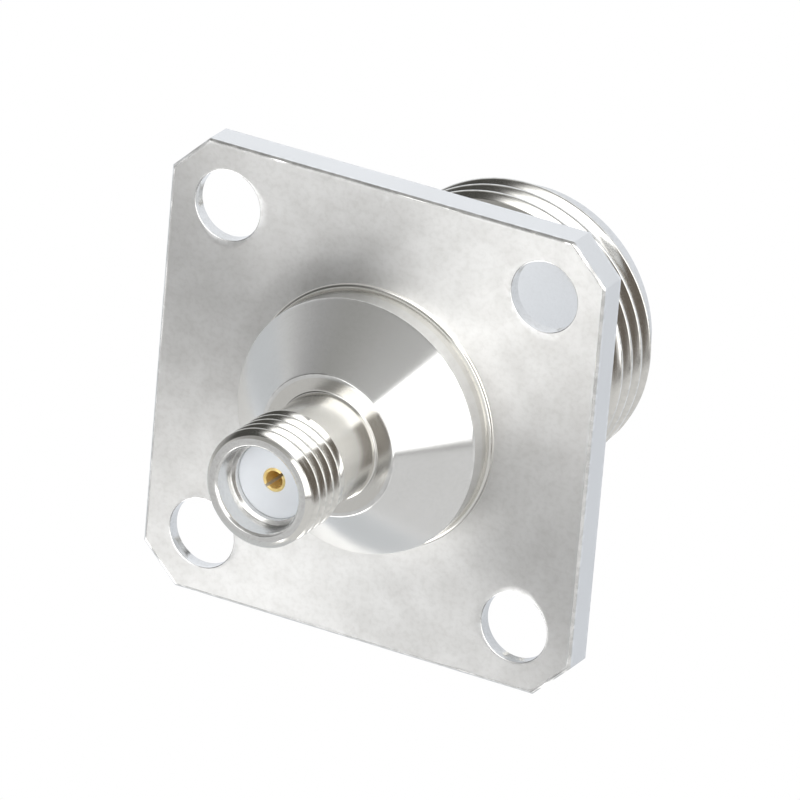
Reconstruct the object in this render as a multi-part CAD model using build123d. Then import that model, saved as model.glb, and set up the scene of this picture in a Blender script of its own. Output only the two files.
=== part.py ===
from build123d import *
import math
import os

# Coaxial adapter: a large threaded jack (below) and a small threaded jack (above) on one square
# flange. The body is turned from square bar and nickel plated. Millimetres, +Z up, the part stands
# on the front end of the large jack, and the connector axis is the Z axis.

# Square flange
flange_side = 25.0
flange_thickness = 1.8
flange_corner_cut = 2.0
screw_edge_distance = 3.35
screw_hole_diameter = 3.75
screw_hole_land = 0.7
countersink_diameter = 5.8

# Large jack, from its front end up to the flange
large_nose_diameter = 14.0
large_nose_length = 1.7
large_nose_chamfer = 0.3
large_thread_diameter = 15.75
large_thread_length = 3.9
large_thread_lead = 0.35
large_neck_diameter = 14.2
large_neck_length = 10.3
large_neck_fillet = 0.3
large_bore_diameter = 8.1
large_bore_lead = 0.25
large_reference_depth = 9.1

# Outer contact sleeve and bead inside the large jack
sleeve_bore_diameter = 7.0
sleeve_length = 2.4
bead_thickness = 3.0

# Centre contact of the large jack
large_contact_diameter = 3.04
large_contact_bore_diameter = 1.65
large_contact_bore_depth = 6.0
large_contact_depth = 4.1
large_contact_slot_width = 0.3
large_contact_slot_length = 4.6
large_contact_lead = 0.2
large_contact_stem_diameter = 2.0

# Small side: land on the flange, cone, relief and thread
land_diameter = 13.75
land_height = 1.6
land_fillet = 0.25
cone_top_diameter = 7.6
cone_height = 3.0
relief_diameter = 5.6
relief_length = 3.35
relief_fillet = 0.15
small_thread_diameter = 6.25
small_thread_length = 3.8
small_thread_lead = 0.35
small_bore_diameter = 4.6
small_bore_lead = 0.12
small_bore_depth = 1.45

# Insulator and centre contact of the small jack
small_insulator_diameter = 4.1
small_insulator_recess = 0.3
small_contact_diameter = 1.27
small_contact_bore_diameter = 0.94
small_contact_bore_depth = 3.0
small_contact_slot_width = 0.16
small_contact_slot_length = 2.4
small_contact_slot_angle = 45.0
small_contact_lead = 0.07
small_contact_above_insulator = 0.05
small_contact_tail_diameter = 0.8
small_contact_tail_length = 1.8

# Slots are cut this much past the end of a contact, so that the cut opens cleanly
cut_overrun = 0.5

# The screws keep their distance from the flange's edges
screw_spacing = flange_side - 2 * screw_edge_distance

# Heights that follow from the lengths above
large_thread_bottom = large_nose_length
large_thread_top = large_thread_bottom + large_thread_length
flange_bottom = large_thread_top + large_neck_length
flange_top = flange_bottom + flange_thickness
land_top = flange_top + land_height
cone_top = land_top + cone_height
small_thread_bottom = cone_top + relief_length
small_end = small_thread_bottom + small_thread_length

sleeve_bottom = large_reference_depth
bead_bottom = sleeve_bottom + sleeve_length
bead_top = bead_bottom + bead_thickness
small_bore_floor = small_end - small_bore_depth
small_insulator_top = small_bore_floor - small_insulator_recess
small_contact_top = small_insulator_top + small_contact_above_insulator


def turned(outline):
    """Solid of revolution about Z of a closed outline of (radius, height) points."""
    edges = Plane.XZ * Polyline(*outline, close=True)
    return revolve(make_face(edges), Axis.Z)


def rod(diameter, bottom, top):
    """Plain round rod on the Z axis between two heights."""
    return Pos(0, 0, bottom) * Cylinder(
        diameter / 2, top - bottom, align=(Align.CENTER, Align.CENTER, Align.MIN))


def ring_edges(part, diameter, height):
    """Circular edges of a part that lie about Z at one diameter and height."""
    def wanted(edge):
        middle = edge.bounding_box().center()
        on_axis = math.hypot(middle.X, middle.Y) < 0.01
        right_size = abs(edge.bounding_box().size.X - diameter) < 0.01
        return on_axis and right_size and abs(middle.Z - height) < 0.01
    return part.edges().filter_by(GeomType.CIRCLE).filter_by(wanted)


def large_jack():
    """Outside of the large jack: chamfered nose, thread at its major diameter, plain neck."""
    nose = large_nose_diameter / 2
    thread = large_thread_diameter / 2
    neck = large_neck_diameter / 2
    return turned([
        (0, 0),
        (nose - large_nose_chamfer, 0),
        (nose, large_nose_chamfer),
        (nose, large_thread_bottom),
        (thread - large_thread_lead, large_thread_bottom),
        (thread, large_thread_bottom + large_thread_lead),
        (thread, large_thread_top - large_thread_lead),
        (thread - large_thread_lead, large_thread_top),
        (neck, large_thread_top),
        (neck, flange_bottom),
        (0, flange_bottom),
    ])


def small_jack():
    """Outside of the small side: land, cone, flat shoulder, relief, thread at its major diameter."""
    relief = relief_diameter / 2
    thread = small_thread_diameter / 2
    return turned([
        (0, flange_top),
        (land_diameter / 2, flange_top),
        (land_diameter / 2, land_top),
        (cone_top_diameter / 2, cone_top),
        (relief, cone_top),
        (relief, small_thread_bottom),
        (thread, small_thread_bottom + (thread - relief)),
        (thread, small_end - small_thread_lead),
        (thread - small_thread_lead, small_end),
        (0, small_end),
    ])


def flange():
    """Square plate with cut corners and four holes, countersunk from the large jack's side."""
    half = flange_side / 2
    cut = half - flange_corner_cut
    outline = Polyline(
        (-half, -cut), (-cut, -half), (cut, -half), (half, -cut),
        (half, cut), (cut, half), (-cut, half), (-half, cut), close=True)
    plate = Pos(0, 0, flange_bottom) * extrude(make_face(outline), flange_thickness)
    hole = screw_hole_diameter / 2
    sink = countersink_diameter / 2
    sink_top = flange_top - screw_hole_land
    screw = turned([
        (0, flange_bottom), (sink, flange_bottom), (hole, sink_top), (hole, flange_top), (0, flange_top)])
    for place in GridLocations(screw_spacing, screw_spacing, 2, 2):
        plate -= place * screw
    return plate


def bores():
    """Everything bored out of the body, from the large jack's mouth to the small jack's mouth."""
    large = large_bore_diameter / 2
    passage = small_insulator_diameter / 2
    small = small_bore_diameter / 2
    return turned([
        (0, 0),
        (large + large_bore_lead, 0),
        (large, large_bore_lead),
        (large, bead_top),
        (passage, bead_top),
        (passage, small_bore_floor),
        (small, small_bore_floor),
        (small, small_end - small_bore_lead),
        (small + small_bore_lead, small_end),
        (0, small_end),
    ])


def body():
    """The one-piece body: both jacks, cone and flange."""
    part = large_jack() + flange() + small_jack()
    part = fillet(ring_edges(part, land_diameter, flange_top), land_fillet)
    part = fillet(ring_edges(part, large_neck_diameter, flange_bottom), large_neck_fillet)
    part = fillet(ring_edges(part, relief_diameter, cone_top), relief_fillet)
    return part - bores()


def contact_sleeve():
    """Outer contact sleeve pressed into the large jack against the bead."""
    outer = large_bore_diameter
    return rod(outer, sleeve_bottom, bead_bottom) - rod(sleeve_bore_diameter, sleeve_bottom, bead_bottom)


def large_insulator():
    """Bead that carries the large contact's stem."""
    bead = rod(large_bore_diameter, bead_bottom, bead_top)
    return bead - rod(large_contact_stem_diameter, bead_bottom, bead_top)


def small_insulator():
    """Long insulator of the small jack, which carries its contact."""
    tube = rod(small_insulator_diameter, bead_top, small_insulator_top)
    return tube - rod(small_contact_diameter, bead_top, small_insulator_top)


def slots(width, diameter, tip, inner, count, angle=0):
    """Saw slots across a contact from its tip inwards; each slot crosses the whole diameter.
    The first lies at an angle in degrees from X, and the rest are spread evenly."""
    reach = abs(inner - tip) + cut_overrun
    middle = (inner + tip) / 2 + math.copysign(cut_overrun / 2, tip - inner)
    blade = Pos(0, 0, middle) * Box(diameter + cut_overrun, width, reach)
    return [Rot(0, 0, angle + turn * 180 / count) * blade for turn in range(count)]


def large_contact():
    """Four-finger socket of the large jack, with the stem that goes through the bead."""
    outer = large_contact_diameter / 2
    socket = large_contact_bore_diameter / 2
    stem = large_contact_stem_diameter / 2
    tail = small_contact_tail_diameter / 2
    tip = large_contact_depth
    bore_end = tip + large_contact_bore_depth
    part = turned([
        (socket, tip),
        (outer - large_contact_lead, tip),
        (outer, tip + large_contact_lead),
        (outer, bead_bottom),
        (stem, bead_bottom),
        (stem, bead_top),
        (tail, bead_top),
        (tail, bead_top - small_contact_tail_length),
        (0, bead_top - small_contact_tail_length),
        (0, bore_end),
        (socket, bore_end),
    ])
    slot_end = tip + large_contact_slot_length
    for cut in slots(large_contact_slot_width, large_contact_diameter, tip, slot_end, 2):
        part -= cut
    return part


def small_contact():
    """Two-finger socket of the small jack, with the tail pressed into the large contact's stem."""
    outer = small_contact_diameter / 2
    socket = small_contact_bore_diameter / 2
    tail = small_contact_tail_diameter / 2
    tip = small_contact_top
    bore_end = tip - small_contact_bore_depth
    part = turned([
        (0, bead_top - small_contact_tail_length),
        (tail, bead_top - small_contact_tail_length),
        (tail, bead_top),
        (outer, bead_top),
        (outer, tip - small_contact_lead),
        (outer - small_contact_lead, tip),
        (socket, tip),
        (socket, bore_end),
        (0, bore_end),
    ])
    slot_end = tip - small_contact_slot_length
    for cut in slots(small_contact_slot_width, small_contact_diameter, tip, slot_end, 1,
                     small_contact_slot_angle):
        part -= cut
    return part


os.makedirs("parts", exist_ok=True)
pieces = {
    "body": body(),
    "contact_sleeve": contact_sleeve(),
    "large_insulator": large_insulator(),
    "large_contact": large_contact(),
    "small_insulator": small_insulator(),
    "small_contact": small_contact(),
}
for name, piece in pieces.items():
    export_step(piece, f"parts/{name}.step")
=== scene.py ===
import math
from types import SimpleNamespace

import bmesh
import bpy
import numpy as np
from mathutils import Matrix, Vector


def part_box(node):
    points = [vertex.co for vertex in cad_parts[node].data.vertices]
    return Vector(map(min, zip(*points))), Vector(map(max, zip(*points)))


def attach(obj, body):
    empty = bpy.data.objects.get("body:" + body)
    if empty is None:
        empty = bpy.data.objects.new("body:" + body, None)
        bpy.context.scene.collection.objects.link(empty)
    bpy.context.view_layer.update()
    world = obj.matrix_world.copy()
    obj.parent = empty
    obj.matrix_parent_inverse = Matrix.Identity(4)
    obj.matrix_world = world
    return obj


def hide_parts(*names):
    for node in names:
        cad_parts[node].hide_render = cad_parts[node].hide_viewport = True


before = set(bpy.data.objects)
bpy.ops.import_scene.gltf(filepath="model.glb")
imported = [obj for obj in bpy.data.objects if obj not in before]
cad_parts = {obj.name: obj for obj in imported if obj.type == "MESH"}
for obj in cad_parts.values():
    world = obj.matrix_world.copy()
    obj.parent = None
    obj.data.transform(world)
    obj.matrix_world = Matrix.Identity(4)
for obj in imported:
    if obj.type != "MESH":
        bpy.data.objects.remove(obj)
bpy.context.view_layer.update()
body_low, body_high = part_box("body")
small_contact_low, small_contact_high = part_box("small_contact")
large_contact_low, large_contact_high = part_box("large_contact")
bead_low, bead_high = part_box("large_insulator")
sleeve_low, sleeve_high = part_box("contact_sleeve")
insulator_low, insulator_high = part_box("small_insulator")

bl_info = {
    "name": "Coaxial adapter",
    "version": (1, 0, 0),
    "blender": (4, 5, 0),
    "location": "3D View > Sidebar > Adapter",
    "description": "Builds a flanged coaxial adapter with cut threads, slotted contacts and plated finishes",
    "category": "Mesh",
}

MM = 0.001
TURN = 2 * math.pi
WHOLE = np.linspace(0, TURN, 257)

# The camera's own axes and its place in metres, for the photograph's viewing angle
CAMERA_RIGHT = (0.8727, 0.0792, -0.4817)
CAMERA_UP = (-0.2573, 0.9132, -0.3161)
CAMERA_BACK = (0.4148, 0.3998, 0.8173)
CAMERA_PLACE = (0.24239, 0.23346, 0.49216)

# Points closer than this are welded, in metres, and edges sharper than this stay sharp
WELD = 2e-7
SHARP = math.radians(31)

# Millimetres: the smallest rounding that doesn't wear, the length of a long side, the distance of its
# unworn rows from its ends, and how far below a thread's crest the wear ends
UNWORN_ROUNDING = 0.1
LONG_SIDE = 0.3
UNWORN_ROW = 0.1
CREST_WEAR = 0.12

# Millimetres: the broken edge of a screw hole in front and of its countersink on the rear
HOLE_EDGE = 0.05
SINK_EDGE = 0.03

# The floor lies this far below the object, in metres, so that no two faces share a place
FLOOR_DROP = 0.00002

# Finishes of the body, in the order of its material slots
FACED, MILLED, TURNED, BRIGHT, THREAD, BORED = range(6)

# Shares of a pitch at which a thread has a row of points, from one crest to the next, and its places:
# the end of the flat crest, the bend into the flank, the start of the round root, and its radius
HALF_TOOTH = np.array([0.0, 0.0325, 0.0625, 0.0925, 0.234, 0.375, 0.42, 0.46])
CREST_END, BEND_MIDDLE, BEND_END, ROOT_START = HALF_TOOTH[[1, 2, 3, 5]]
ROOT_RADIUS = 0.1443
TOOTH = np.concatenate([HALF_TOOTH, [0.5], 1 - HALF_TOOTH[:0:-1]])


def length(name, description, default):
    """A length property with its default in millimetres."""
    return bpy.props.FloatProperty(
        name=name, description=description, default=default * MM, min=0.0, unit="LENGTH", precision=5)


def share(name, description, default):
    """A factor property between nothing and all."""
    return bpy.props.FloatProperty(
        name=name, description=description, default=default, min=0.0, max=1.0, subtype="FACTOR")


def colour(name, description, default):
    """A colour property."""
    return bpy.props.FloatVectorProperty(
        name=name, description=description, default=default, size=3, min=0.0, max=4.0, subtype="COLOR")


def across(low, high):
    """The width of a box in millimetres."""
    return (high.x - low.x) / MM


class FlangeSizes(bpy.types.PropertyGroup):
    side: length("Side", "Width of the square flange", across(body_low, body_high))
    thickness: length("Thickness", "Thickness of the flange", 1.8)
    corner_cut: length("Corner cut", "How far each corner is cut along both sides", 2.0)
    edge_round: length("Edge rounding", "Broken edge all round the flange", 0.11)
    burr: length("Burr", "Height of the burr left along the front edges", 0.022)
    burr_width: length("Burr width", "Width of the burr's inner slope", 0.055)
    spacing: length("Screw spacing", "Distance between screw holes along a side", 18.3)
    hole: length("Screw hole", "Diameter of a screw hole", 3.75)
    land: length("Hole land", "Depth of the straight part of a screw hole", 0.7)
    countersink: length("Countersink", "Diameter of the countersink on the rear", 5.8)
    top: length("Front height", "Height of the flange's front face", 17.7)


class LargeJackSizes(bpy.types.PropertyGroup):
    nose: length("Nose", "Diameter of the plain front end", 14.0)
    nose_length: length("Nose length", "Length of the plain front end", 1.7)
    nose_chamfer: length("Nose chamfer", "Chamfer of the front end", 0.3)
    thread: length("Thread", "Major diameter of the thread", 15.75)
    thread_length: length("Thread length", "Length of the thread", 3.9)
    lead: length("Thread lead", "Chamfer at both ends of the thread", 0.35)
    pitch: length("Pitch", "Pitch of the thread", 25.4 / 24)
    crest: length("Crest height", "Height of a crest above the X axis", 3.0666)
    neck: length("Neck", "Diameter of the neck under the flange", 14.2)
    neck_fillet: length("Neck fillet", "Fillet between neck and flange", 0.3)
    bore: length("Bore", "Diameter of the bore", across(bead_low, bead_high))
    bore_lead: length("Bore lead", "Chamfer of the bore", 0.25)
    sleeve_bore: length("Sleeve bore", "Inner diameter of the outer contact sleeve", 7.0)


class SmallJackSizes(bpy.types.PropertyGroup):
    land: length("Land", "Diameter of the land on the flange", 13.75)
    land_height: length("Land height", "Height of the land", 1.6)
    land_fillet: length("Land fillet", "Fillet between land and flange", 0.25)
    cone_top: length("Cone top", "Diameter at the top of the cone", 7.6)
    cone_height: length("Cone height", "Height of the cone", 3.0)
    relief: length("Relief", "Diameter of the plain part under the thread", 5.6)
    relief_length: length("Relief length", "Length of the plain part under the thread", 3.35)
    relief_fillet: length("Relief fillet", "Fillet between relief and cone", 0.15)
    thread: length("Thread", "Major diameter of the thread", 6.25)
    lead: length("Thread lead", "Chamfer at the front of the thread", 0.35)
    pitch: length("Pitch", "Pitch of the thread", 25.4 / 36)
    crest: length("Crest height", "Height of a crest above the X axis", 25.7602)
    bore: length("Bore", "Diameter of the bore", 4.6)
    bore_lead: length("Bore lead", "Chamfer of the bore", 0.12)
    bore_depth: length("Bore depth", "Depth of the bore", 1.45)
    insulator: length("Insulator", "Diameter of the insulator", across(insulator_low, insulator_high))


class ContactSizes(bpy.types.PropertyGroup):
    large: length(
        "Large contact", "Diameter of the large contact", across(large_contact_low, large_contact_high))
    large_bore: length("Large socket", "Bore of the large contact", 1.65)
    large_bore_depth: length("Large socket depth", "Depth of the large contact's bore", 6.0)
    large_slot: length("Large slot", "Width of the large contact's slots", 0.3)
    large_slot_length: length("Large slot length", "Length of the large contact's slots", 4.6)
    large_lead: length("Large lead", "Chamfer of the large contact's tip", 0.2)
    stem: length("Stem", "Diameter of the stem inside the bead", 2.0)
    small: length("Small contact", "Diameter of the small contact", 1.27)
    small_bore: length("Small socket", "Bore of the small contact", 0.94)
    small_bore_depth: length("Small socket depth", "Depth of the small contact's bore", 3.0)
    small_slot: length("Small slot", "Width of the small contact's slot", 0.16)
    small_slot_length: length("Small slot length", "Length of the small contact's slot", 2.4)
    small_lead: length("Small lead", "Chamfer of the small contact's tip", 0.07)
    small_slot_angle: bpy.props.FloatProperty(
        name="Small slot angle", description="Direction of the small contact's slot from the X axis",
        default=math.radians(45), subtype="ANGLE")
    tail: length("Tail", "Diameter of the tail that joins both contacts", 0.8)
    tail_length: length("Tail length", "Length of the tail", 1.8)


class FinishSettings(bpy.types.PropertyGroup):
    nickel: colour("Nickel", "Colour of the nickel plating", (0.83, 0.828, 0.817))
    # The faced nickel is the plain nickel made four percent lighter: painted light that brightens the
    # flange's faces, not a different plating.
    nickel_faced: colour("Faced nickel", "Colour of the plating on the flange's faces", (0.863, 0.861, 0.85))
    nickel_bright: colour("Bright nickel", "Colour of the plating on polished parts", (0.80, 0.786, 0.748))
    nickel_tarnish: colour("Nickel tarnish", "Colour of the plating where it has dulled", (0.66, 0.652, 0.63))
    gold: colour("Gold", "Colour of the gold plating", (1.0, 0.81, 0.37))
    gold_deep: colour("Deep gold", "Colour of the gold plating in its marks", (1.0, 0.65, 0.18))
    plastic: colour("Insulator", "Colour of the insulators", (0.87, 0.905, 0.95))
    faced_roughness: share("Faced roughness", "Roughness of the flange's faces", 0.48)
    bright_roughness: share("Bright roughness", "Roughness of the turned surfaces", 0.12)


class StageSettings(bpy.types.PropertyGroup):
    floor: colour("Floor", "Light that the floor gives the metal", (0.95, 0.98, 1.03))
    side_floor: colour("Side floor", "Light of the floor on the side away from the lamps", (0.72, 0.75, 0.80))
    far_floor: colour(
        "Far floor", "Light that the floor gives the metal from farther away", (0.59, 0.61, 0.63))
    sky: colour("Sky", "Light of the studio between its panels", (0.70, 0.70, 0.70))
    backdrop: colour("Backdrop", "Colour behind the object", (1.0, 1.0, 1.0))
    floor_radius: length("Floor radius", "Radius of the floor", 1500.0)
    lens: bpy.props.FloatProperty(
        name="Lens", description="Focal length of the camera", default=515.7, unit="CAMERA")


def sizes(group):
    """The lengths of a property group as a plain namespace in millimetres."""
    kinds = group.bl_rna.properties
    return SimpleNamespace(**{
        name: getattr(group, name) / MM for name in group.__annotations__ if kinds[name].unit == "LENGTH"})


def rounded(corners):
    """Profile through (radius, height, rounding) corners. Each rounded corner becomes an arc that
    touches both of its sides: with half the corner's angle h, the arc starts q / tan(h) before the
    corner, and its centre lies q / sin(h) from the corner on the middle line."""
    corners = np.asarray(corners, float)
    parts = []
    for index, (radius, height, rounding) in enumerate(corners):
        point = np.array([radius, height])
        if rounding <= 0 or index in (0, len(corners) - 1):
            parts.append(point[None])
            continue
        before = corners[index - 1, :2] - point
        after = corners[index + 1, :2] - point
        before, after = before / np.hypot(*before), after / np.hypot(*after)
        half = math.acos(np.clip(before @ after, -1, 1)) / 2
        bend = math.pi - 2 * half
        middle = before + after
        centre = point + middle / np.hypot(*middle) * rounding / math.sin(half)
        first = (point + before * rounding / math.tan(half) - centre) / rounding
        last = (point + after * rounding / math.tan(half) - centre) / rounding
        steps = max(2, math.ceil(bend / math.radians(15 if rounding > 0.1 else 24)))
        s = np.linspace(0, 1, steps + 1)[:, None]
        arc = (np.sin((1 - s) * bend) * first + np.sin(s * bend) * last) / math.sin(bend)
        parts.append(centre + rounding * arc)
    return np.concatenate(parts)


def revolved(profile, angles=WHOLE):
    """Surface of revolution: for each (r, z) of the profile and each angle a, the point
    (r cos a, r sin a, z)."""
    r, z = profile[:, 0, None], profile[:, 1, None]
    return np.stack([r * np.cos(angles), r * np.sin(angles), z + 0 * angles], -1)


def threaded(major, pitch, crest, low, high, low_end, high_end):
    """Right-hand thread between two heights. A point's row follows the helix
    z = crest + pitch (s + a / turn), held between the ends, and its radius is the major radius less
    the tooth's depth at that place, and no more than the chamfers allow. A tooth is a flat crest, a
    flank of 60 degrees between sides, and a round root that touches both flanks. low_end and
    high_end are (radius, chamfer) at the two ends."""
    first = math.floor((low - crest) / pitch) - 1
    last = math.ceil((high - crest) / pitch) + 1
    s = (np.arange(first, last)[:, None] + TOOTH).ravel()
    z = np.clip(crest + pitch * (s[:, None] + WHOLE / TURN), low, high)
    away = (z - crest) / pitch - WHOLE / TURN
    away = np.abs(away - np.round(away))
    slope = math.sqrt(3)
    soft = BEND_MIDDLE - CREST_END
    bend = slope / (4 * soft) * (away - CREST_END) ** 2
    flank = slope * (away - BEND_MIDDLE)
    root_centre = slope * (0.5 - BEND_MIDDLE) - 2 * ROOT_RADIUS
    root = root_centre + np.sqrt(np.maximum(ROOT_RADIUS ** 2 - (0.5 - away) ** 2, 0))
    depth = np.where(away < CREST_END, 0, np.where(away < BEND_END, bend, flank))
    depth = np.where(away > ROOT_START, root, depth) * pitch
    chamfer = np.minimum(low_end[0] + (z - low) / max(low_end[1], 1e-6) * (major - low_end[0]),
                         high_end[0] + (high - z) / max(high_end[1], 1e-6) * (major - high_end[0]))
    r = np.minimum(major - depth, chamfer)
    return np.stack([r * np.cos(WHOLE), r * np.sin(WHOLE), z], -1)


def ripple(x, y, seed, longest, shortest, waves=24):
    """Smooth noise from 0 to 1 over a plane: the sum of plane waves of seeded directions, lengths and
    phases, scaled by its own spread."""
    random = np.random.default_rng(seed)
    way = random.uniform(0, TURN, waves)
    size = np.geomspace(longest, shortest, waves)
    phase = random.uniform(0, TURN, waves)
    along = x[..., None] * np.cos(way) + y[..., None] * np.sin(way)
    total = np.cos(along * TURN / size + phase).sum(-1)
    return np.clip(0.5 + total / (2 * math.sqrt(waves)), 0, 1)


def flange_outline(s, inset, count=40, corner=8):
    """Half of the outline of a flange quadrant's outer side, from the Y axis over the cut corner to the
    X axis, moved in by an inset. Points along a side lie at equal angles seen from the screw hole."""
    half, hole = s.side / 2, s.spacing / 2
    cut = half - s.corner_cut
    gap = half - hole
    seen = np.linspace(math.atan(-hole / gap), math.atan((cut - hole) / gap), count + 1)
    along = (hole + gap * np.tan(seen)) * (cut - inset * (math.sqrt(2) - 1)) / cut
    along[0] = 0
    edge = half - inset
    top = np.stack([along, np.full(count + 1, edge)], -1)
    step = np.linspace(0, 1, corner + 1)[1:-1, None]
    over = top[-1] + step * (top[-1, ::-1] - top[-1])
    return np.concatenate([top, over, top[::-1, ::-1]])


def flange_loop(s, ring, inset, seam=6):
    """Closed loop round a flange quadrant: the ring's arc from the X axis to the Y axis, out along the
    Y axis, along the outer side, and in along the X axis. Points along both axes lie at equal angles
    seen from the screw hole."""
    arc = np.linspace(0, math.pi / 2, 65)
    ring_points = ring * np.stack([np.cos(arc), np.sin(arc)], -1)
    outer = flange_outline(s, inset)
    hole = s.spacing / 2
    seen = np.linspace(math.atan((ring - hole) / hole), math.atan((s.side / 2 - hole) / hole), seam + 1)
    part = (hole + hole * np.tan(seen) - ring) / (s.side / 2 - ring)
    out = ring + part * (s.side / 2 - inset - ring)
    zero = np.zeros(seam - 1)
    up = np.stack([zero, out[1:-1]], -1)
    return np.concatenate([ring_points, up, outer, np.stack([out[-2:0:-1], zero], -1), ring_points[:1]])


def flange_face(s, ring, inset, rim, height, way):
    """Flat face of a flange quadrant: rows go in straight lines from the quadrant's loop to the rim of
    the screw hole, whose points lie in the directions way from its centre."""
    loop = flange_loop(s, ring, inset)
    centre = np.full(2, s.spacing / 2)
    hole = centre + rim * way
    t = np.array([0, 0.06, 0.2, 0.4, 0.6, 0.8, 0.94, 1])[:, None, None]
    flat = loop + t * (hole - loop)
    return np.concatenate([flat, np.full(flat.shape[:2] + (1,), height)], -1)


def quadrants(points):
    """The four quarter turns of a grid of points about the Z axis."""
    x, y, z = points[..., 0], points[..., 1], points[..., 2]
    return [np.stack(xy + (z,), -1) for xy in ((x, y), (-y, x), (-x, -y), (y, -x))]


def flange_patches(s, ring_top, ring_bottom):
    """The flange: front and rear faces, outer side with broken edges and a burr, and screw holes."""
    top, bottom, b = s.top, s.top - s.thickness, s.edge_round
    hole, sink, middle = s.hole / 2, s.countersink / 2, s.spacing / 2
    loop = flange_loop(s, ring_top, b)
    way = loop - middle
    way = way / np.hypot(way[:, 0], way[:, 1])[:, None]

    front = flange_face(s, ring_top, b + s.burr_width, hole + HOLE_EDGE, top, way)
    rear = flange_face(s, ring_bottom, b, sink + SINK_EDGE, bottom, way)

    # Rows of the outer side from front to rear: inset, height and share of the burr's height
    rows = [
        (b + s.burr_width, top, 0), (b, top, 1), (0.6 * b, top - 0.28 * b, 0.3),
        (0.05 * b, top - 0.665 * b, 0), (0, top - 0.8 * b, 0), (0, top - 3 * b, 0),
        (0, (top + bottom) / 2, 0), (0, bottom + 3 * b, 0), (0, bottom + b, 0),
        (0.3 * b, bottom + 0.3 * b, 0), (b, bottom, 0)]
    side = []
    for inset, height, lip in rows:
        line = flange_outline(s, inset)
        burr = ripple(line[:, 0], line[:, 1], seed=5, longest=4.0, shortest=0.6)
        z = height + s.burr * lip * np.clip(burr * 1.6 - 0.3, 0, 1) * np.clip(line.min(1), 0, 1)
        side.append(np.concatenate([line, z[:, None]], -1))
    side = np.stack(side)

    bend = 0.3 * HOLE_EDGE
    rim = [
        (hole + HOLE_EDGE, top), (hole + bend, top - bend), (hole, top - HOLE_EDGE),
        (hole, top - s.land / 2), (hole, top - s.land), (sink, bottom + SINK_EDGE),
        (sink + SINK_EDGE, bottom)]
    wall = np.stack([np.concatenate([middle + r * way, np.full((len(way), 1), z)], -1) for r, z in rim])

    patches = []
    for grid, finish, worn in ((front, FACED, [-1]), (rear, FACED, [-1]), (side, MILLED, [1, 2, 3, 4, 8, 9]),
                               (wall, BORED, [0, 1, 2])):
        edge = np.zeros(grid.shape[:2])
        edge[worn] = 1
        if finish == FACED:
            edge[0] = np.hypot(grid[0, :, 0], grid[0, :, 1]) > 0.49 * s.side
        patches += [(turned, finish, edge) for turned in quadrants(grid)]
    return patches


def worn_rows(profile, corners):
    """1 for rows of a profile that lie on one of its rounded corners, 0 elsewhere."""
    corners = np.asarray(corners, float)
    near = np.hypot(profile[:, None, 0] - corners[:, 0], profile[:, None, 1] - corners[:, 1])
    return (near < np.maximum(corners[:, 2] * 1.2, 1e-3)).any(1).astype(float)


def turned_patch(corners, finish=0):
    """A patch of revolution through rounded corners, with its worn edges marked. A row without wear lies
    a tenth of a millimetre from both ends of every long side, so that wear stays at the corners."""
    profile = rounded(corners)
    worn = [c for c in corners[1:-1] if 0 < c[2] < UNWORN_ROUNDING]
    edge = worn_rows(profile, worn) if worn else np.zeros(len(profile))
    step = np.diff(profile, axis=0)
    span = np.hypot(step[:, 0], step[:, 1])
    long = np.flatnonzero(span > LONG_SIDE)
    inwards = step[long] / span[long, None] * UNWORN_ROW
    index = np.concatenate([long + 1, long + 1])
    unworn = np.concatenate([profile[long] + inwards, profile[long + 1] - inwards])
    profile = np.insert(profile, index, unworn, axis=0)
    edge = np.insert(edge, index, 0.0)
    return revolved(profile), finish, np.repeat(edge[:, None], len(WHOLE), 1)


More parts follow.
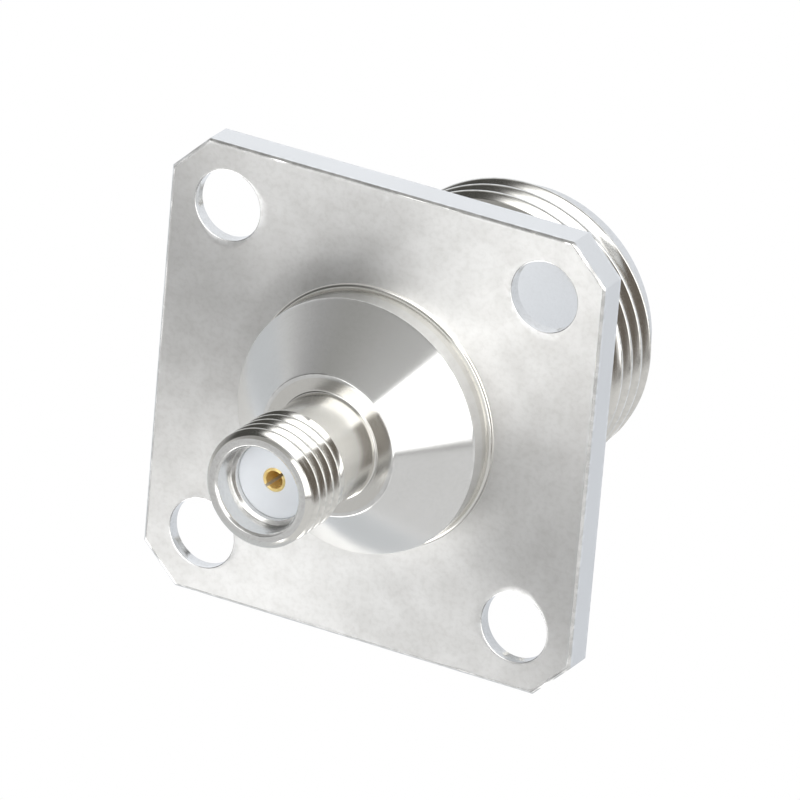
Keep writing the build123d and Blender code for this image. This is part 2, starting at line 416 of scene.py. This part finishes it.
def body_patches(f, large, small):
    """The one-piece body: flange, land, cone, relief, both threads, both bores, neck and nose."""
    land, cone, relief = small.land / 2, small.cone_top / 2, small.relief / 2
    land_top = f.top + small.land_height
    cone_top = land_top + small.cone_height
    low = cone_top + small.relief_length
    high = body_high.z / MM
    mouth = small.bore / 2 + small.bore_lead
    floor = high - small.bore_depth
    passage = small.insulator / 2
    bead_top = bead_high.z / MM
    bore = large.bore / 2
    nose, neck = large.nose / 2, large.neck / 2
    bottom = large.nose_length
    top = bottom + large.thread_length
    rear = f.top - f.thickness
    ring_top, ring_bottom = land + small.land_fillet, neck + large.neck_fillet

    small_end = small.thread / 2 - small.lead
    small_thread = threaded(small.thread / 2, small.pitch, small.crest, low, high,
                            (relief, small.thread / 2 - relief), (small_end, small.lead))
    large_end = large.thread / 2 - large.lead
    large_thread = threaded(large.thread / 2, large.pitch, large.crest, bottom, top,
                            (large_end, large.lead), (large_end, large.lead))

    patches = flange_patches(f, ring_top, ring_bottom)
    patches.append(turned_patch([
        (ring_top, f.top, 0), (land, f.top, small.land_fillet), (land, (f.top + land_top) / 2, 0)], BRIGHT))
    patches.append(turned_patch([
        (land, (f.top + land_top) / 2, 0), (land, land_top, 0.07), (cone, cone_top, 0.05),
        ((cone + relief) / 2 + 0.3, cone_top, 0)], TURNED))
    patches.append(turned_patch([
        ((cone + relief) / 2 + 0.3, cone_top, 0), (relief, cone_top, small.relief_fillet),
        (relief, low, 0)], BRIGHT))
    patches += bridge_after(small_thread[0], (relief, low))
    patches.append((small_thread, THREAD, crest_wear(small_thread, small.thread / 2)))
    patches += bridge(small_thread[-1], turned_patch([
        (mouth + 0.16, high, 0), (mouth, high, 0.03), (mouth - small.bore_lead, high - small.bore_lead, 0.04),
        (mouth - small.bore_lead, floor, 0.02), (passage, floor, 0.02), (passage, bead_top, 0.02),
        (bore, bead_top, 0.02), (bore, large.bore_lead, 0.05), (bore + large.bore_lead, 0, 0.05),
        (nose - large.nose_chamfer, 0, 0.05), (nose, large.nose_chamfer, 0.05), (nose, bottom, 0.02),
        (nose + 0.1, bottom, 0)], BORED))
    patches += bridge_after(large_thread[0], (nose + 0.1, bottom))
    patches.append((large_thread, THREAD, crest_wear(large_thread, large.thread / 2)))
    patches += bridge(large_thread[-1], turned_patch([
        (neck + 0.02, top, 0), (neck, top, 0.02), (neck, rear, large.neck_fillet),
        (ring_bottom, rear, 0)], TURNED))
    return patches


def crest_wear(grid, major):
    """1 on a thread's crests, falling evenly to 0 a little below them."""
    r = np.hypot(grid[..., 0], grid[..., 1])
    return np.clip(1 - (major - r) / CREST_WEAR, 0, 1)


def bridge(ring, patch):
    """A flat strip between a ring of points and a patch's first row, and then the patch."""
    strip = np.stack([ring, patch[0][0]])
    return [(strip, patch[1], np.zeros(strip.shape[:2])), patch]


def bridge_after(ring, point):
    """A flat strip between a plain circle and a ring of points."""
    circle = revolved(np.array([point], float))[0]
    strip = np.stack([circle, ring])
    return [(strip, TURNED, np.zeros(strip.shape[:2]))]


def fingers(outer, bore, lead, tip, root, slot, cuts, first):
    """Fingers of a slotted socket. At radius r a finger starts asin(slot / 2 r) past a slot's middle, so
    its flat sides are parallel to the slot. Its section runs from the root up the outer wall, over the
    tip and down the bore, and the flat sides are strips between outer and inner wall."""
    way = 1 if tip > root else -1
    outer_line = rounded([(outer, root, 0), (outer, tip - way * lead, lead * 0.3),
                          (outer - lead, tip, lead * 0.3), (bore + lead, tip, 0)])
    rows = len(outer_line)
    inner_z = np.concatenate([root + (tip - way * lead - root) * np.linspace(0, 1, rows - 2),
                              [tip - way * lead * 0.2, tip]])
    inner_r = np.concatenate([np.full(rows - 2, bore), [bore + lead * 0.6, bore + lead * 0.9]])
    inner_line = np.stack([inner_r, inner_z], -1)
    section = np.concatenate([outer_line, inner_line[::-1], outer_line[:1]])
    patches = []
    span = math.pi / cuts
    r, z = section[:, 0, None], section[:, 1, None]
    skip = np.arcsin(slot / 2 / r)
    for finger in range(2 * cuts):
        angle = first + finger * span + skip + np.linspace(0, 1, 33) * (span - 2 * skip)
        tube = np.stack([r * np.cos(angle), r * np.sin(angle), z + 0 * angle], -1)
        patches.append((tube, 0, np.zeros(tube.shape[:2])))
        for end in (0, -1):
            side = np.stack([tube[:rows, end], tube[rows:2 * rows, end][::-1]])
            patches.append((side, 0, np.zeros(side.shape[:2])))
    return patches


def surface(name, patches, finishes, replaced):
    """One mesh from grids of points in millimetres: each grid gives quads between neighbours, grids that
    meet are welded, and normals are turned outwards. A grid comes with its finish and its edge marks."""
    points, faces, finish, edge, start = [], [], [], [], 0
    for grid, kind, worn in patches:
        rows, columns = grid.shape[:2]
        index = start + np.arange(rows * columns).reshape(rows, columns)
        quads = np.stack([index[:-1, :-1], index[:-1, 1:], index[1:, 1:], index[1:, :-1]], -1)
        faces.append(quads.reshape(-1, 4))
        points.append(grid.reshape(-1, 3))
        finish.append(np.full(len(faces[-1]), kind))
        edge.append(worn.ravel())
        start += rows * columns
    points, faces = np.concatenate(points) * MM, np.concatenate(faces)
    finish, edge = np.concatenate(finish), np.concatenate(edge)

    mesh = bpy.data.meshes.new(name)
    mesh.vertices.add(len(points))
    mesh.vertices.foreach_set("co", points.astype(np.float32).ravel())
    mesh.loops.add(faces.size)
    mesh.loops.foreach_set("vertex_index", faces.astype(np.int32).ravel())
    mesh.polygons.add(len(faces))
    mesh.polygons.foreach_set("loop_start", np.arange(0, faces.size, 4, dtype=np.int32))
    mesh.polygons.foreach_set("material_index", finish.astype(np.int32))
    mesh.update(calc_edges=True)
    mesh.attributes.new("edge", "FLOAT", "POINT").data.foreach_set("value", edge.astype(np.float32))

    work = bmesh.new()
    work.from_mesh(mesh)
    bmesh.ops.remove_doubles(work, verts=work.verts, dist=WELD)
    bmesh.ops.recalc_face_normals(work, faces=work.faces)
    work.to_mesh(mesh)
    work.free()
    mesh.polygons.foreach_set("use_smooth", np.ones(len(mesh.polygons), bool))
    mesh.set_sharp_from_angle(angle=SHARP)
    mesh.update()

    for material in finishes:
        mesh.materials.append(material)
    piece = bpy.data.objects.new(name, mesh)
    bpy.context.scene.collection.objects.link(piece)
    weighted = piece.modifiers.new("Even shading", "WEIGHTED_NORMAL")
    weighted.keep_sharp = True
    weighted.weight = 80
    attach(piece, "root")
    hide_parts(replaced)
    return piece


def node(tree, kind, inputs=None, **settings):
    """A node with its settings, and with its inputs set or linked."""
    made = tree.nodes.new(kind)
    for name, value in settings.items():
        setattr(made, name, value)
    for name, value in (inputs or {}).items():
        if isinstance(value, bpy.types.NodeSocket):
            tree.links.new(value, made.inputs[name])
        else:
            made.inputs[name].default_value = value
    return made


def calculate(tree, operation, *values, clamp=False):
    """The output of a Math node."""
    inputs = dict(enumerate(values))
    return node(tree, "ShaderNodeMath", inputs, operation=operation, use_clamp=clamp).outputs[0]


def blend_colours(tree, factor, first, second):
    """The colour between two colours."""
    mix = node(tree, "ShaderNodeMix", data_type="RGBA")
    for index, value in ((0, factor), (6, first), (7, second)):
        if isinstance(value, bpy.types.NodeSocket):
            tree.links.new(value, mix.inputs[index])
        else:
            mix.inputs[index].default_value = (*value, 1) if index else value
    return mix.outputs[2]


def remap(tree, value, low, high, to_low=0.0, to_high=1.0):
    """A value carried smoothly from one range to another."""
    return node(tree, "ShaderNodeMapRange", {
        "Value": value, "From Min": low, "From Max": high, "To Min": to_low, "To Max": to_high},
        interpolation_type="SMOOTHSTEP").outputs["Result"]


def effect(name, inputs, outputs):
    """An empty node group with named inputs and outputs."""
    tree = bpy.data.node_groups.new(name, "ShaderNodeTree")
    for label, kind, default in inputs:
        socket = tree.interface.new_socket(label, in_out="INPUT", socket_type=kind)
        if default is not None:
            socket.default_value = default
    for label, kind in outputs:
        tree.interface.new_socket(label, in_out="OUTPUT", socket_type=kind)
    return tree, tree.nodes.new("NodeGroupInput").outputs, tree.nodes.new("NodeGroupOutput")


def turning_marks():
    """Concentric tool marks: noise of the distance from the axis and of the height alone, so that it runs
    round the axis. Lines gives a height and Bands a slow change from one cut to the next."""
    tree, given, out = effect("Turning marks", [
        ("Vector", "NodeSocketVector", None), ("Spacing", "NodeSocketFloat", 0.00005),
        ("Band", "NodeSocketFloat", 0.0006)], [("Lines", "NodeSocketFloat"), ("Bands", "NodeSocketFloat")])
    split = node(tree, "ShaderNodeSeparateXYZ", {"Vector": given["Vector"]}).outputs
    radius = calculate(tree, "SQRT", calculate(
        tree, "ADD", calculate(tree, "MULTIPLY", split["X"], split["X"]),
        calculate(tree, "MULTIPLY", split["Y"], split["Y"])))
    for spacing, label, detail in (("Spacing", "Lines", 3.0), ("Band", "Bands", 1.0)):
        place = node(tree, "ShaderNodeCombineXYZ", {
            "X": calculate(tree, "DIVIDE", radius, given[spacing]),
            "Y": calculate(tree, "DIVIDE", split["Z"], given[spacing])}).outputs[0]
        noise = node(tree, "ShaderNodeTexNoise", {
            "Vector": place, "Scale": 1.0, "Detail": detail, "Roughness": 0.6}, noise_dimensions="2D")
        tree.links.new(noise.outputs["Fac"], out.inputs[label])
    return tree


def mottling():
    """Uneven plating: cloudy patches a few millimetres wide, and fine specks."""
    tree, given, out = effect("Mottling", [
        ("Vector", "NodeSocketVector", None), ("Patch", "NodeSocketFloat", 0.004),
        ("Speck", "NodeSocketFloat", 0.00016)], [
        ("Patches", "NodeSocketFloat"), ("Specks", "NodeSocketFloat")])
    for size, label, detail, low, high in (
            ("Patch", "Patches", 2.5, 0.3, 0.7), ("Speck", "Specks", 2.0, 0.4, 0.7)):
        scale = calculate(tree, "DIVIDE", 1.0, given[size])
        noise = node(tree, "ShaderNodeTexNoise", {
            "Vector": given["Vector"], "Scale": scale, "Detail": detail, "Roughness": 0.55})
        tree.links.new(remap(tree, noise.outputs["Fac"], low, high), out.inputs[label])
    return tree


def edge_wear():
    """Where handling has brightened an edge: the edge mark broken up by noise."""
    tree, given, out = effect("Edge wear", [
        ("Vector", "NodeSocketVector", None), ("Edge", "NodeSocketFloat", 0.0),
        ("Amount", "NodeSocketFloat", 0.5)], [("Worn", "NodeSocketFloat")])
    noise = node(tree, "ShaderNodeTexNoise", {"Vector": given["Vector"], "Scale": 2500.0, "Detail": 3.0})
    broken = remap(tree, noise.outputs["Fac"], 0.42, 0.6)
    worn = calculate(tree, "MULTIPLY", calculate(tree, "MULTIPLY", given["Edge"], broken), given["Amount"])
    tree.links.new(worn, out.inputs["Worn"])
    return tree


def shared(builder, name):
    """A node group built once and reused."""
    return bpy.data.node_groups.get(name) or builder()


def use(tree, group, inputs):
    """The outputs of a node that stands for a shared group."""
    return node(tree, "ShaderNodeGroup", inputs, node_tree=group).outputs


def new_material(name):
    """A material with one Principled shader, and its tree, shader and object coordinates."""
    material = bpy.data.materials.new(name)
    material.use_nodes = True
    tree = material.node_tree
    tree.nodes.clear()
    shader = tree.nodes.new("ShaderNodeBsdfPrincipled")
    output = tree.nodes.new("ShaderNodeOutputMaterial")
    tree.links.new(shader.outputs[0], output.inputs["Surface"])
    place = tree.nodes.new("ShaderNodeTexCoord").outputs["Object"]
    return material, tree, shader, place


def across_marks(tree, place):
    """The direction across turning marks: the normal times (Z times the place), so along the profile."""
    around = node(tree, "ShaderNodeVectorMath", {0: (0, 0, 1), 1: place},
                  operation="CROSS_PRODUCT").outputs[0]
    normal = tree.nodes.new("ShaderNodeNewGeometry").outputs["Normal"]
    return node(tree, "ShaderNodeVectorMath", {0: normal, 1: around}, operation="CROSS_PRODUCT").outputs[0]


def plated(name, clean, dull, roughness, spacing, band, mark_depth, dullness, rough_change, wear,
           stretch=0.0, metal=1.0, patch=0.004, speck=0.00016):
    """Plated metal: tool marks and specks in the relief, cloudy dullness in colour and roughness, brighter
    worn edges, and reflections stretched across the tool marks. Spacing, band, mark depth, patch and
    speck are lengths in metres, and the other numbers are shares."""
    material, tree, shader, place = new_material(name)
    if stretch:
        tree.links.new(across_marks(tree, place), shader.inputs["Tangent"])
        shader.inputs["Anisotropic"].default_value = stretch
    marks = use(tree, shared(turning_marks, "Turning marks"), {
        "Vector": place, "Spacing": spacing, "Band": band})
    spots = use(tree, shared(mottling, "Mottling"), {"Vector": place, "Patch": patch, "Speck": speck})
    mark = node(tree, "ShaderNodeAttribute", attribute_name="edge",
                attribute_type="GEOMETRY").outputs["Fac"]
    worn = use(tree, shared(edge_wear, "Edge wear"), {"Vector": place, "Edge": mark, "Amount": wear})["Worn"]

    cloud = calculate(tree, "MULTIPLY", spots["Patches"], dullness)
    grain = calculate(tree, "MULTIPLY", remap(tree, marks["Bands"], 0.3, 0.7), dullness * 0.2)
    flecks = calculate(tree, "MULTIPLY", spots["Specks"], dullness * 0.9)
    tone = calculate(tree, "ADD", calculate(tree, "ADD", cloud, grain), flecks, clamp=True)
    base = blend_colours(tree, tone, clean, dull)
    base = blend_colours(tree, worn, base, tuple(min(1.0, c * 1.2) for c in clean))
    tree.links.new(base, shader.inputs["Base Color"])

    change = calculate(tree, "ADD", calculate(tree, "MULTIPLY", spots["Patches"], rough_change),
                       calculate(tree, "MULTIPLY", marks["Bands"], rough_change))
    change = calculate(tree, "ADD", change, roughness - rough_change, clamp=True)
    tree.links.new(change, shader.inputs["Roughness"])

    relief = calculate(tree, "ADD", marks["Lines"], calculate(tree, "MULTIPLY", spots["Specks"], 0.06))
    bump = node(tree, "ShaderNodeBump", {"Height": relief, "Distance": mark_depth, "Strength": 1.0})
    tree.links.new(bump.outputs[0], shader.inputs["Normal"])
    shader.inputs["Metallic"].default_value = metal
    return material


def smooth_plastic(name, tint):
    """Turned white insulator: faint tool marks, slightly uneven tone."""
    material, tree, shader, place = new_material(name)
    marks = use(tree, shared(turning_marks, "Turning marks"), {
        "Vector": place, "Spacing": 0.00006, "Band": 0.0005})
    spots = use(tree, shared(mottling, "Mottling"), {"Vector": place, "Patch": 0.0012, "Speck": 0.0002})
    tone = calculate(tree, "MULTIPLY", spots["Patches"], 0.5)
    base = blend_colours(tree, tone, tint, tuple(c * 0.95 for c in tint))
    tree.links.new(base, shader.inputs["Base Color"])
    tree.links.new(remap(tree, spots["Patches"], 0, 1, 0.42, 0.55), shader.inputs["Roughness"])
    bump = node(tree, "ShaderNodeBump", {"Height": marks["Lines"], "Distance": 0.000002, "Strength": 1.0})
    tree.links.new(bump.outputs[0], shader.inputs["Normal"])
    shader.inputs["IOR"].default_value = 1.38
    return material


def body_finishes(settings):
    """The body's finishes in the order of its material slots."""
    clean, warm = tuple(settings.nickel), tuple(settings.nickel_bright)
    dull, pale = tuple(settings.nickel_tarnish), tuple(settings.nickel_faced)
    faced, bright = settings.faced_roughness, settings.bright_roughness
    # After the two colours: roughness, spacing, band, mark depth, dullness, change of roughness and wear
    return [
        # The faced finish takes the lightened nickel, so the flange's faces carry painted light in their
        # colour.
        plated("Nickel faced", pale, dull, faced, 0.00009, 0.0009, 0.000002, 0.24, 0.04, 0.6,
               stretch=0.92, patch=0.0015, speck=0.0003),
        plated("Nickel milled", clean, dull, 0.22, 0.00012, 0.0010, 0.000001, 0.1, 0.02, 0.6),
        plated("Nickel turned", clean, dull, bright + 0.04, 0.00030, 0.0012, 0.000001, 0.12, 0.02, 0.5,
               stretch=0.5),
        plated("Nickel bright", warm, dull, bright + 0.06, 0.00025, 0.0008, 0.000001, 0.15, 0.02, 0.5,
               stretch=0.6),
        plated("Nickel thread", warm, dull, bright + 0.02, 0.00008, 0.0006, 0.000001, 0.2, 0.02, 0.6),
        plated("Nickel bored", clean, dull, bright + 0.06, 0.00010, 0.0007, 0.0000015, 0.3, 0.03, 0.4),
    ]


def gold_finish(settings):
    """The gold plating of both contacts."""
    found = bpy.data.materials.get("Gold plating")
    return found or plated("Gold plating", tuple(settings.gold), tuple(settings.gold_deep),
                           0.28, 0.00006, 0.0005, 0.000001, 0.25, 0.04, 0.4, metal=0.3)


def plastic_finish(settings):
    """The white of both insulators."""
    found = bpy.data.materials.get("White insulator")
    return found or smooth_plastic("White insulator", tuple(settings.plastic))


def past(azimuth):
    """Edge of a panel: the directions past an azimuth in degrees, for less than half a turn."""
    angle = math.radians(azimuth)
    return -math.sin(angle), math.cos(angle), 0.0, 0.0


def short_of(azimuth):
    """Edge of a panel: the directions before an azimuth in degrees, for less than half a turn."""
    angle = math.radians(azimuth)
    return math.sin(angle), -math.cos(angle), 0.0, 0.0


def over(elevation):
    """Edge of a panel: the directions over an elevation in degrees."""
    return 0.0, 0.0, 1.0, math.sin(math.radians(elevation))


def under(elevation):
    """Edge of a panel: the directions under an elevation in degrees."""
    return 0.0, 0.0, -1.0, -math.sin(math.radians(elevation))


# Light panels and dark sides of the studio, each laid over the ones before it: the colour of its light,
# the softness of its edges in degrees, and its edges. An edge (x, y, z, least) keeps the directions whose
# product with (x, y, z) is more than least.
STUDIO = [
    ((0.38, 0.38, 0.38), 8, [past(120), short_of(200), over(6), under(30)]),
    ((0.12, 0.12, 0.12), 6, [past(140), short_of(192), over(22), under(57)]),
    ((0.56, 0.56, 0.56), 6, [past(200), short_of(266), over(48), under(80)]),
    ((4.6, 4.6, 4.6), 6, [past(237), short_of(276), over(8), under(34)]),
    ((0.20, 0.20, 0.20), 5, [past(264), short_of(296), over(42), under(66)]),
    ((0.35, 0.35, 0.34), 12, [past(44), short_of(136), over(0), under(38)]),
    ((0.07, 0.07, 0.065), 3, [past(128), short_of(176), over(27), under(49)]),
    ((0.05, 0.05, 0.045), 2, [past(117), short_of(129), over(36), under(45)]),
    ((0.14, 0.12, 0.10), 3, [past(-46), short_of(47), over(47), under(72)]),
    ((2.5, 2.5, 2.5), 2.5, [past(47), short_of(128), over(49), under(72)]),
    ((2.8, 2.8, 2.8), 4, [over(73)]),
    ((0.05, 0.045, 0.04), 1, [short_of(57), (-0.158, 0.813, 0.56, -0.06), over(17), under(45)]),
    ((2.0, 2.0, 2.0), 1.2, [short_of(56), (-0.158, 0.813, 0.56, 0.0), over(17), under(44)]),
]


def studio_world(settings):
    """Soft studio light that depends on direction alone, and a plain backdrop for the camera."""
    world = bpy.data.worlds.new("Studio")
    world.use_nodes = True
    tree = world.node_tree
    tree.nodes.clear()
    way = tree.nodes.new("ShaderNodeTexCoord").outputs["Generated"]
    light = tuple(settings.sky)
    for tint, softness, edges in STUDIO:
        soft = math.radians(softness)
        mask = None
        for x, y, z, least in edges:
            product = node(tree, "ShaderNodeVectorMath", {0: way, 1: (x, y, z)}, operation="DOT_PRODUCT")
            side = remap(tree, product.outputs["Value"], least - soft, least + soft)
            mask = calculate(tree, "MULTIPLY", mask, side) if mask else side
        light = blend_colours(tree, mask, light, tint)
    seen = tree.nodes.new("ShaderNodeLightPath").outputs["Is Camera Ray"]
    light = blend_colours(tree, seen, light, tuple(settings.backdrop))
    shade = node(tree, "ShaderNodeBackground", {"Color": light, "Strength": 1.0})
    output = tree.nodes.new("ShaderNodeOutputWorld")
    tree.links.new(shade.outputs[0], output.inputs["Surface"])
    return world


def floor_material(settings):
    """A pale floor whose light falls off with the distance from the object."""
    material = bpy.data.materials.new("Pale floor")
    material.use_nodes = True
    tree = material.node_tree
    tree.nodes.clear()
    place = tree.nodes.new("ShaderNodeTexCoord").outputs["Object"]
    away = node(tree, "ShaderNodeVectorMath", {0: place}, operation="LENGTH").outputs["Value"]
    aside = node(tree, "ShaderNodeVectorMath", {0: place, 1: (1, -1, 0)},
                 operation="DOT_PRODUCT").outputs["Value"]
    near = blend_colours(
        tree, remap(tree, aside, -0.03, 0.03), tuple(settings.floor), tuple(settings.side_floor))
    light = blend_colours(tree, remap(tree, away, 0.025, 0.08), near, tuple(settings.far_floor))
    seen = tree.nodes.new("ShaderNodeLightPath").outputs["Is Camera Ray"]
    light = blend_colours(tree, seen, light, tuple(settings.backdrop))
    glow = node(tree, "ShaderNodeEmission", {"Color": light, "Strength": 1.0})
    output = tree.nodes.new("ShaderNodeOutputMaterial")
    tree.links.new(glow.outputs[0], output.inputs["Surface"])
    return material


class ADAPTER_OT_stage(bpy.types.Operator):
    """Adds the floor, the soft light and the camera"""
    bl_idname = "adapter.stage"
    bl_label = "Stage"

    def execute(self, context):
        settings = context.scene.adapter_stage
        radius = settings.floor_radius
        disc = revolved(np.array([[0, 0], [radius / 2, 0], [radius, 0]]), np.linspace(0, TURN, 65))
        disc[..., 2] = -FLOOR_DROP
        mesh = bpy.data.meshes.new("Floor")
        index = np.arange(disc.size // 3).reshape(disc.shape[:2])
        quads = np.stack([index[:-1, :-1], index[1:, :-1], index[1:, 1:], index[:-1, 1:]], -1)
        mesh.from_pydata(disc.reshape(-1, 3).tolist(), [], quads.reshape(-1, 4).tolist())
        mesh.materials.append(floor_material(settings))
        floor = bpy.data.objects.new("Floor", mesh)
        context.scene.collection.objects.link(floor)

        context.scene.world = studio_world(settings)
        context.scene.view_settings.view_transform = "Standard"
        context.scene.view_settings.look = "None"

        data = bpy.data.cameras.new("Camera")
        data.sensor_width = 36
        data.lens = settings.lens
        camera = bpy.data.objects.new("Camera", data)
        turn = Matrix((CAMERA_RIGHT, CAMERA_UP, CAMERA_BACK)).transposed().to_4x4()
        turn.translation = CAMERA_PLACE
        camera.matrix_world = turn
        context.scene.collection.objects.link(camera)
        context.scene.camera = camera
        return {"FINISHED"}


class ADAPTER_OT_body(bpy.types.Operator):
    """Builds the body with its flange, cone, bores and both cut threads"""
    bl_idname = "adapter.body"
    bl_label = "Body"

    def execute(self, context):
        scene = context.scene
        patches = body_patches(
            sizes(scene.adapter_flange), sizes(scene.adapter_large), sizes(scene.adapter_small))
        surface("adapter_body", patches, body_finishes(scene.adapter_finish), "body")
        return {"FINISHED"}


class ADAPTER_OT_small_contact(bpy.types.Operator):
    """Builds the small jack's slotted contact"""
    bl_idname = "adapter.small_contact"
    bl_label = "Small contact"

    def execute(self, context):
        s = sizes(context.scene.adapter_contacts)
        outer, bore, tail = s.small / 2, s.small_bore / 2, s.tail / 2
        tip = small_contact_high.z / MM
        root = tip - s.small_slot_length
        floor = tip - s.small_bore_depth
        shoulder = bead_high.z / MM
        low = small_contact_low.z / MM
        patches = fingers(outer, bore, s.small_lead, tip, root - 0.02, s.small_slot, 1,
                          context.scene.adapter_contacts.small_slot_angle)
        patches.append(turned_patch([
            (0, floor, 0), (bore, floor, 0.05), (bore, root, 0), (outer, root, 0), (outer, shoulder, 0.03),
            (tail, shoulder, 0.02), (tail, low, 0.05), (0, low, 0)]))
        surface("small_contact_socket", patches, [gold_finish(context.scene.adapter_finish)],
                "small_contact")
        return {"FINISHED"}


class ADAPTER_OT_large_contact(bpy.types.Operator):
    """Builds the large jack's slotted contact"""
    bl_idname = "adapter.large_contact"
    bl_label = "Large contact"

    def execute(self, context):
        s = sizes(context.scene.adapter_contacts)
        outer, bore, stem, tail = s.large / 2, s.large_bore / 2, s.stem / 2, s.tail / 2
        tip = large_contact_low.z / MM
        root = tip + s.large_slot_length
        floor = tip + s.large_bore_depth
        shoulder, top = bead_low.z / MM, bead_high.z / MM
        patches = fingers(outer, bore, s.large_lead, tip, root + 0.02, s.large_slot, 2, 0.0)
        patches.append(turned_patch([
            (0, floor, 0), (bore, floor, 0.05), (bore, root, 0), (outer, root, 0), (outer, shoulder, 0.05),
            (stem, shoulder, 0.02), (stem, top, 0.02), (tail, top, 0.02), (tail, top - s.tail_length, 0.02),
            (0, top - s.tail_length, 0)]))
        surface("large_contact_socket", patches, [gold_finish(context.scene.adapter_finish)],
                "large_contact")
        return {"FINISHED"}


class ADAPTER_OT_insulators(bpy.types.Operator):
    """Builds the small jack's insulator and the large jack's bead"""
    bl_idname = "adapter.insulators"
    bl_label = "Insulators"

    def execute(self, context):
        scene = context.scene
        contacts = sizes(scene.adapter_contacts)
        white = plastic_finish(scene.adapter_finish)
        outer, hole = across(insulator_low, insulator_high) / 2, contacts.small / 2
        low, high = insulator_low.z / MM, insulator_high.z / MM
        surface("small_jack_insulator", [turned_patch([
            (hole, (low + high) / 2, 0), (hole, high, 0.03), (outer, high, 0.05), (outer, low, 0.03),
            (hole, low, 0.03), (hole, (low + high) / 2, 0)])], [white], "small_insulator")
        outer, hole = across(bead_low, bead_high) / 2, contacts.stem / 2
        low, high = bead_low.z / MM, bead_high.z / MM
        surface("large_jack_bead", [turned_patch([
            (hole, (low + high) / 2, 0), (hole, high, 0.03), (outer, high, 0.05), (outer, low, 0.05),
            (hole, low, 0.04), (hole, (low + high) / 2, 0)])], [white], "large_insulator")
        return {"FINISHED"}


class ADAPTER_OT_sleeve(bpy.types.Operator):
    """Builds the large jack's outer contact sleeve"""
    bl_idname = "adapter.sleeve"
    bl_label = "Contact sleeve"

    def execute(self, context):
        settings = context.scene.adapter_finish
        outer = across(sleeve_low, sleeve_high) / 2
        bore = context.scene.adapter_large.sleeve_bore / 2 / MM
        low, high = sleeve_low.z / MM, sleeve_high.z / MM
        ring = turned_patch([
            (outer, (low + high) / 2, 0), (outer, low, 0.05), (bore, low, 0.08), (bore, high, 0.03),
            (outer, high, 0.03), (outer, (low + high) / 2, 0)])
        finish = plated("Nickel sleeve", tuple(settings.nickel), tuple(settings.nickel_tarnish),
                        0.16, 0.00008, 0.0006, 0.000002, 0.25, 0.03, 0.5)
        surface("large_jack_sleeve", [ring], [finish], "contact_sleeve")
        return {"FINISHED"}


OPERATORS = (
    ADAPTER_OT_stage, ADAPTER_OT_body, ADAPTER_OT_small_contact, ADAPTER_OT_large_contact,
    ADAPTER_OT_insulators, ADAPTER_OT_sleeve)

GROUPS = {
    "adapter_flange": FlangeSizes, "adapter_large": LargeJackSizes, "adapter_small": SmallJackSizes,
    "adapter_contacts": ContactSizes, "adapter_finish": FinishSettings, "adapter_stage": StageSettings}


class ADAPTER_PT_panel(bpy.types.Panel):
    """Lists the adapter's pieces and their sizes"""
    bl_idname = "ADAPTER_PT_panel"
    bl_label = "Coaxial adapter"
    bl_space_type = "VIEW_3D"
    bl_region_type = "UI"
    bl_category = "Adapter"

    def draw(self, context):
        for operator in OPERATORS:
            self.layout.operator(operator.bl_idname)
        for name, group in GROUPS.items():
            box = self.layout.box()
            for setting in group.__annotations__:
                box.prop(getattr(context.scene, name), setting)


def register():
    for group in GROUPS.values():
        bpy.utils.register_class(group)
    for operator in OPERATORS:
        bpy.utils.register_class(operator)
    bpy.utils.register_class(ADAPTER_PT_panel)
    for name, group in GROUPS.items():
        setattr(bpy.types.Scene, name, bpy.props.PointerProperty(type=group))


def unregister():
    for name in GROUPS:
        delattr(bpy.types.Scene, name)
    bpy.utils.unregister_class(ADAPTER_PT_panel)
    for operator in reversed(OPERATORS):
        bpy.utils.unregister_class(operator)
    for group in reversed(GROUPS.values()):
        bpy.utils.unregister_class(group)


def main():
    register()
    bpy.ops.adapter.stage()
    bpy.ops.adapter.body()
    bpy.ops.adapter.small_contact()
    bpy.ops.adapter.large_contact()
    bpy.ops.adapter.insulators()
    bpy.ops.adapter.sleeve()


if __name__ == "__main__":
    main()
